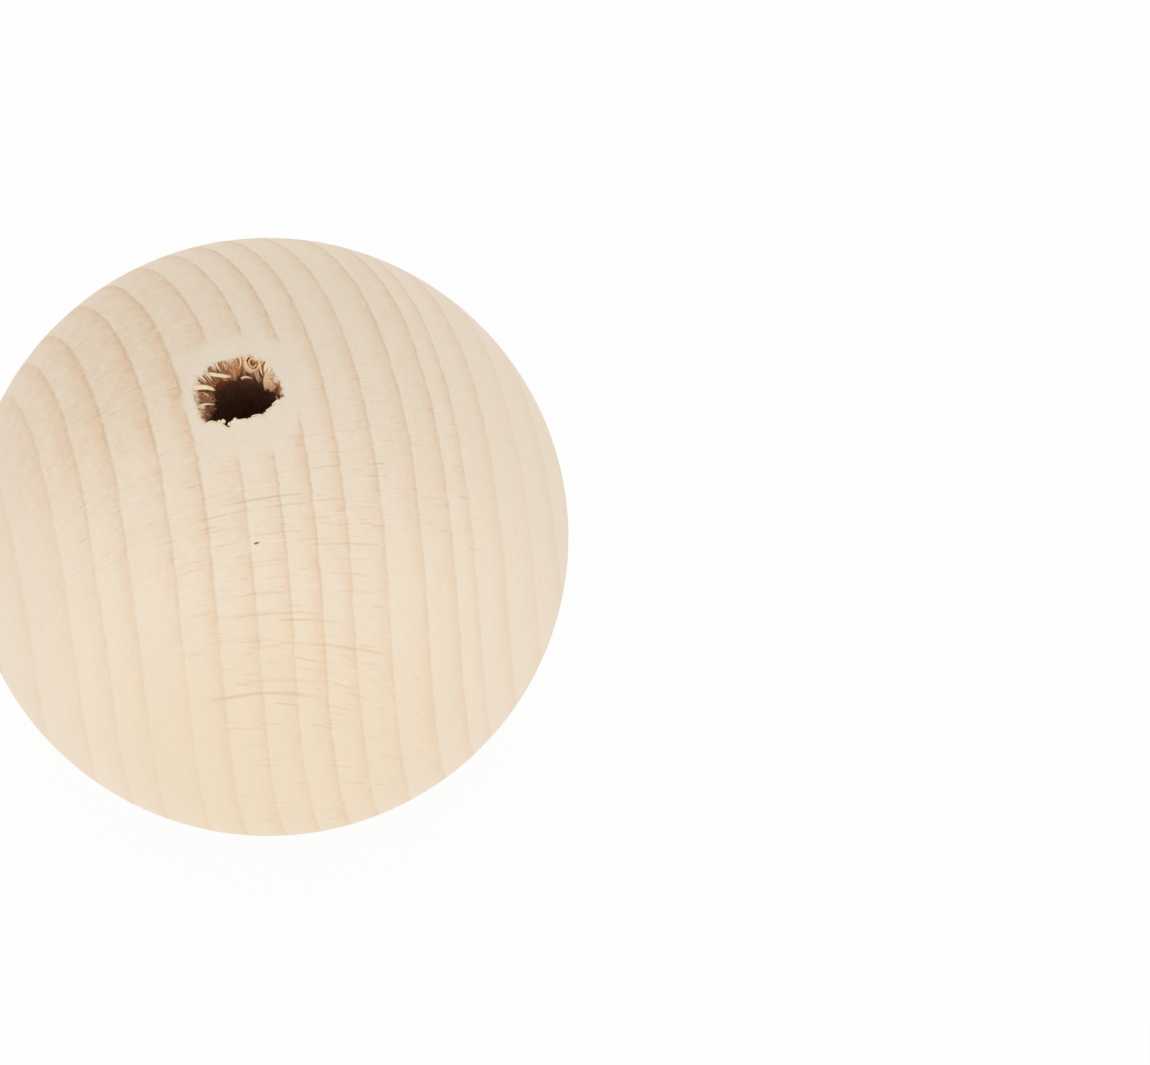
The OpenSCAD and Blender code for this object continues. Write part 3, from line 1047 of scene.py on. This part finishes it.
class BEECHBALL_OT_splinters(bpy.types.Operator):
    """Leaves the large splinters, shavings, lumps and the curl in the mouth"""
    bl_idname = "beechball.splinters"
    bl_label = "Splinters"

    def execute(self, context):
        look = context.scene.beech_ball_look
        pale, warm, tan = pale_fibre(look), warm_fibre(look), tan_fibre(look)
        rng = random.Random(21)
        pieces = [self.curl(warm, rng), self.lumps(pale, rng)]
        for name, rows, finish in (("pale_splinters", PALE_SPLINTERS, pale),
                                   ("warm_splinters", WARM_SPLINTERS, warm),
                                   ("tan_splinters", TAN_SPLINTERS, tan),
                                   ("shavings", SHAVINGS, pale)):
            bm = bmesh.new()
            for row in rows:
                splinter(bm, *row, rng)
            pieces.append(finished_piece(name, bm, finish))
        for piece in pieces:
            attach(piece, "root")
        return {"FINISHED"}

    def lumps(self, finish, rng):
        bm = bmesh.new()
        for centre, size in LUMPS:
            crumb(bm, centre, size, rng)
        return finished_piece("crushed_lumps", bm, finish)

    def curl(self, finish, rng):
        """A shaving rolled up on the far edge of the mouth."""
        centre, axis = Vector((1.98, 2.75, 29.5)), Vector((0.38, -0.15, 0.9)).normalized()
        side = (Vector((0.97, -0.24, -0.02)) - axis * axis.x).normalized()
        up = axis.cross(side).normalized()
        path, steps = [], 80
        for i in range(steps + 1):
            share = i / steps
            angle = math.radians(70 + 640 * share)
            radius = 0.84 - 0.56 * share ** 1.15
            wave = (0.03 * math.sin(angle * 3.0) + 0.02 * math.sin(angle * 7.0)) * (1.0 - share * 0.5)
            path.append(centre + (side * math.cos(angle) * 0.94 + up * math.sin(angle)) * (radius + wave)
                        + axis * (0.2 * share - 0.1))
        bm = bmesh.new()
        for offset, wide, first, last in ((-0.14, 0.46, 0, 76), (0.1, 0.42, 3, 80), (0.3, 0.2, 8, 60)):
            strip = [point + axis * offset for point in path[first:last + 1]]
            ribbon(bm, strip, (0.13, 0.12, 0.1, 0.08), (wide, wide, wide * 0.9, wide * 0.5),
                   axis, 10, 0.1, rng)
        return finished_piece("wood_curl", bm, finish)


class BEECHBALL_OT_stage(bpy.types.Operator):
    """Sets out the floor, the lamps and the camera"""
    bl_idname = "beechball.stage"
    bl_label = "Stage"

    def execute(self, context):
        settings = context.scene.beech_ball_stage
        self.floor(settings)
        self.lamps(settings)
        self.sky(context.scene, settings)
        self.camera(context.scene)
        context.scene.view_settings.view_transform = "Standard"
        return {"FINISHED"}

    def seen_rays(self, b):
        path = b.node("ShaderNodeLightPath", None, None, "Is Camera Ray")
        return b.share(path + path.out("Is Glossy Ray") + path.out("Is Transmission Ray"))

    def floor(self, settings):
        finish, b = new_finish("pale_floor")
        paper = b.node("ShaderNodeBsdfDiffuse", None, {"Color": paint(253, 253, 253)})
        white = b.node("ShaderNodeEmission", None, {"Color": (1, 1, 1, 1), "Strength": 1.0})
        whitened = 0.92
        mixed = b.node("ShaderNodeMixShader", None,
                       {0: self.seen_rays(b) * whitened, 1: paper, 2: white})
        b.node("ShaderNodeOutputMaterial", None, {"Surface": mixed})
        bm = bmesh.new()
        bmesh.ops.create_circle(bm, cap_ends=True, segments=96, radius=settings.floor_radius)
        bmesh.ops.translate(bm, verts=bm.verts, vec=(0, 0, CAD_BOX[0][2]))
        finished_piece("floor", bm, finish)

    def lamps(self, settings):
        for name, power, size, place, tint in (
                ("front_lamp", settings.front_lamp, 0.7, (-0.25, -0.95, 0.35), (1.0, 0.955, 0.87)),
                ("top_lamp", settings.top_lamp, 0.8, (0.3, 0.1, 1.1), (0.98, 0.99, 1.0))):
            light = bpy.data.lights.new(name, "AREA")
            light.energy, light.size, light.color = power, size, tint
            lamp = bpy.data.objects.new(name, light)
            lamp.location = place
            lamp.rotation_euler = Vector(place).to_track_quat("Z", "Y").to_euler()
            bpy.context.scene.collection.objects.link(lamp)

    def sky(self, scene, settings):
        scene.world = bpy.data.worlds.new("sky")
        scene.world.use_nodes = True
        scene.world.node_tree.nodes.clear()
        b = Bench(scene.world.node_tree)
        seen = self.seen_rays(b)
        light = b.node("ShaderNodeBackground", None,
                       {"Color": (1, 1, 1, 1), "Strength": settings.sky_level})
        white = b.node("ShaderNodeBackground", None, {"Color": (1, 1, 1, 1), "Strength": 1.0})
        b.node("ShaderNodeOutputWorld", None,
               {"Surface": b.node("ShaderNodeMixShader", None, {0: seen, 1: light, 2: white})})

    def camera(self, scene):
        lens = bpy.data.cameras.new("camera")
        lens.sensor_fit, lens.sensor_width, lens.lens = "HORIZONTAL", SENSOR_MM, LENS_MM
        lens.clip_start = 0.01
        camera = bpy.data.objects.new("camera", lens)
        place = Vector((0.0, -math.cos(VIEW_HEIGHT), math.sin(VIEW_HEIGHT))) * VIEW_DISTANCE
        # Turned from facing the ball until its middle is at its own place in the picture.
        pixels = LENS_MM / SENSOR_MM * PICTURE_WIDTH
        tilt = math.atan2(BALL_DOWN - PICTURE_HEIGHT / 2, pixels)
        pan = math.atan2((BALL_ACROSS - PICTURE_WIDTH / 2) * math.cos(tilt), pixels)
        facing = place.to_track_quat("Z", "Y").to_matrix()
        turn = facing @ Euler((tilt, pan, VIEW_ROLL)).to_matrix()
        camera.matrix_world = Matrix.Translation(place) @ turn.to_4x4()
        scene.collection.objects.link(camera)
        scene.camera = camera


class BEECHBALL_PT_panel(bpy.types.Panel):
    """Lists the pieces of the ball"""
    bl_idname = "BEECHBALL_PT_panel"
    bl_label = "Beech Ball"
    bl_space_type = "VIEW_3D"
    bl_region_type = "UI"
    bl_category = "Beech Ball"

    def draw(self, context):
        for kind in OPERATORS:
            self.layout.operator(kind.bl_idname)
        for group in (context.scene.beech_ball_sizes, context.scene.beech_ball_look,
                      context.scene.beech_ball_stage):
            box = self.layout.box()
            for label in group.__annotations__:
                box.prop(group, label)


SETTINGS = {"beech_ball_sizes": BallSizes, "beech_ball_look": BeechLook,
            "beech_ball_stage": StageSettings}
OPERATORS = (BEECHBALL_OT_turned_ball, BEECHBALL_OT_mouth_fibres, BEECHBALL_OT_splinters,
             BEECHBALL_OT_stage)


def register():
    for kind in (*SETTINGS.values(), *OPERATORS, BEECHBALL_PT_panel):
        bpy.utils.register_class(kind)
    for name, group in SETTINGS.items():
        setattr(bpy.types.Scene, name, bpy.props.PointerProperty(type=group))


def unregister():
    for name in SETTINGS:
        delattr(bpy.types.Scene, name)
    for kind in (BEECHBALL_PT_panel, *reversed(OPERATORS), *reversed(SETTINGS.values())):
        bpy.utils.unregister_class(kind)


def main():
    register()
    bpy.ops.beechball.turned_ball()
    bpy.ops.beechball.mouth_fibres()
    bpy.ops.beechball.splinters()
    bpy.ops.beechball.stage()


if __name__ == "__main__":
    main()
